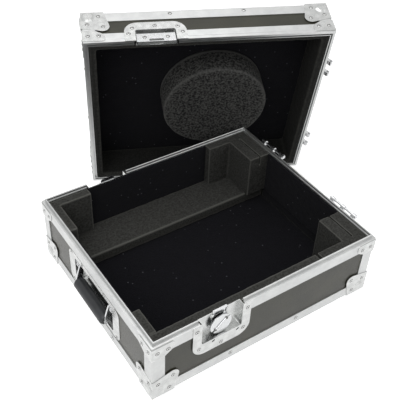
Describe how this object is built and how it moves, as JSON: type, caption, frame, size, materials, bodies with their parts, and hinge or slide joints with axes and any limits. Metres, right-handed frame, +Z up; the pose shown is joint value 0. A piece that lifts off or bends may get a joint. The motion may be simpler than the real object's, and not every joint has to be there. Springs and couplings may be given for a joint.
{
  "type": "turntable flight case",
  "caption": "Padded carrying case for a record player: an open tray with recessed turn latches, a sprung handle and loose-pin hinges, and its lifted-off lid leaning on it.",
  "frame": {"origin": "on the floor, at the middle of the foot of the tray's ball corner at its front and handle sides", "axes": "+X along the tray's front from the handle side to the hinge side, +Y from its front to its rear, +Z up"},
  "size_m": [0.7376, 0.7125, 0.4665],
  "materials": {
    "edge_aluminium": "satin drawn aluminium",
    "laminate": "dark grey phenolic laminate on plywood, low sheen",
    "pressed_steel": "bright zinc-plated pressed sheet",
    "bright_steel": "bright zinc-plated steel",
    "grip_rubber": "matt moulded rubber",
    "carpet": "black needle-felt carpet",
    "foam": "dark grey open-cell foam"
  },
  "bodies": {
    "tray": {"foam_front_left_block": "foam", "foam_front_right_block": "foam", "foam_front_strip": "foam", "foam_rear_ledge": "foam", "foam_rear_left_block": "foam", "foam_rear_right_block": "foam", "front_latch_dish": "pressed_steel", "handle_dish": "pressed_steel", "handle_pins": "bright_steel", "handle_springs": "bright_steel", "rear_latch_dish": "pressed_steel", "tray_ball_corners": "pressed_steel", "tray_bottom_panel": "laminate", "tray_corner_edges": "edge_aluminium", "tray_end_edges": "edge_aluminium", "tray_floor_carpet": "carpet", "tray_front_hinge_leaf": "bright_steel", "tray_front_panel": "laminate", "tray_handle_side_panel": "laminate", "tray_hinge_side_panel": "laminate", "tray_rear_hinge_leaf": "bright_steel", "tray_rear_panel": "laminate", "tray_rim_braces": "pressed_steel", "tray_rim_rails": "edge_aluminium", "tray_wall_lining": "carpet"},
    "front_hinge_pin": {"front_hinge_pin": "bright_steel"},
    "front_claw": {"front_latch_claw": "bright_steel"},
    "front_lower_wing": {"front_latch_lower_wing": "bright_steel"},
    "front_rotor": {"front_latch_rotor": "bright_steel", "front_latch_wing_pin": "bright_steel"},
    "front_upper_wing": {"front_latch_upper_wing": "bright_steel"},
    "handle": {"handle_bail": "bright_steel", "handle_grip": "grip_rubber"},
    "lid": {"lid_ball_corners": "pressed_steel", "lid_carpet": "carpet", "lid_corner_edges": "edge_aluminium", "lid_end_edges": "edge_aluminium", "lid_foam_lining": "foam", "lid_foam_puck": "foam", "lid_front_catch_dish": "pressed_steel", "lid_front_catch_keeper": "bright_steel", "lid_front_hinge_leaf": "bright_steel", "lid_front_panel": "laminate", "lid_handle_side_panel": "laminate", "lid_hinge_side_panel": "laminate", "lid_rear_catch_dish": "pressed_steel", "lid_rear_catch_keeper": "bright_steel", "lid_rear_hinge_leaf": "bright_steel", "lid_rear_panel": "laminate", "lid_rim_braces": "pressed_steel", "lid_rim_rails": "edge_aluminium", "lid_top_panel": "laminate"},
    "rear_hinge_pin": {"rear_hinge_pin": "bright_steel"},
    "rear_claw": {"rear_latch_claw": "bright_steel"},
    "rear_lower_wing": {"rear_latch_lower_wing": "bright_steel"},
    "rear_rotor": {"rear_latch_rotor": "bright_steel", "rear_latch_wing_pin": "bright_steel"},
    "rear_upper_wing": {"rear_latch_upper_wing": "bright_steel"}
  },
  "joints": [
    {"name": "lid_lift", "type": "slide", "parent": "tray", "child": "lid", "axis": [0, 0, 1], "range_m": [0, 0.25]},
    {"name": "front_latch_turn", "type": "hinge", "parent": "tray", "child": "front_rotor", "pos_m": [0.1355, -0.014, 0.12], "axis": [0, -1, 0], "range_deg": [0, 180]},
    {"name": "front_claw_slide", "type": "slide", "parent": "tray", "child": "front_claw", "axis": [0, 0, -1], "range_m": [0, 0.0061]},
    {"name": "front_upper_wing_fold", "type": "hinge", "parent": "front_rotor", "child": "front_upper_wing", "pos_m": [0.1355, -0.0104, 0.12], "axis": [0.766, 0, 0.6428], "range_deg": [0, 90], "stiffness_Nm_per_rad": 0.02, "springref_deg": -22.92},
    {"name": "front_lower_wing_fold", "type": "hinge", "parent": "front_rotor", "child": "front_lower_wing", "pos_m": [0.1355, -0.0104, 0.12], "axis": [-0.766, 0, -0.6428], "range_deg": [0, 90], "stiffness_Nm_per_rad": 0.02, "springref_deg": -22.92},
    {"name": "rear_latch_turn", "type": "hinge", "parent": "tray", "child": "rear_rotor", "pos_m": [0.1355, 0.44, 0.12], "axis": [0, 1, 0], "range_deg": [0, 180]},
    {"name": "rear_claw_slide", "type": "slide", "parent": "tray", "child": "rear_claw", "axis": [0, 0, -1], "range_m": [0, 0.0061]},
    {"name": "rear_upper_wing_fold", "type": "hinge", "parent": "rear_rotor", "child": "rear_upper_wing", "pos_m": [0.1355, 0.4364, 0.12], "axis": [-0.766, 0, 0.6428], "range_deg": [0, 90], "stiffness_Nm_per_rad": 0.02, "springref_deg": -22.92},
    {"name": "rear_lower_wing_fold", "type": "hinge", "parent": "rear_rotor", "child": "rear_lower_wing", "pos_m": [0.1355, 0.4364, 0.12], "axis": [0.766, 0, -0.6428], "range_deg": [0, 90], "stiffness_Nm_per_rad": 0.02, "springref_deg": -22.92},
    {"name": "handle_swing", "type": "hinge", "parent": "tray", "child": "handle", "pos_m": [-0.008, 0.213, 0.095], "axis": [0, 1, 0], "range_deg": [0, 90], "stiffness_Nm_per_rad": 0.15, "springref_deg": -17.19},
    {"name": "front_hinge_pin_slide", "type": "slide", "parent": "tray", "child": "front_hinge_pin", "axis": [0, -1, 0], "range_m": [0, 0.08]},
    {"name": "rear_hinge_pin_slide", "type": "slide", "parent": "tray", "child": "rear_hinge_pin", "axis": [0, -1, 0], "range_m": [0, 0.08]}
  ],
  "couplings": [
    {"joint": "front_claw_slide", "follows": "front_latch_turn", "m_per_rad": 0.0019099},
    {"joint": "rear_claw_slide", "follows": "rear_latch_turn", "m_per_rad": 0.0019099}
  ]
}
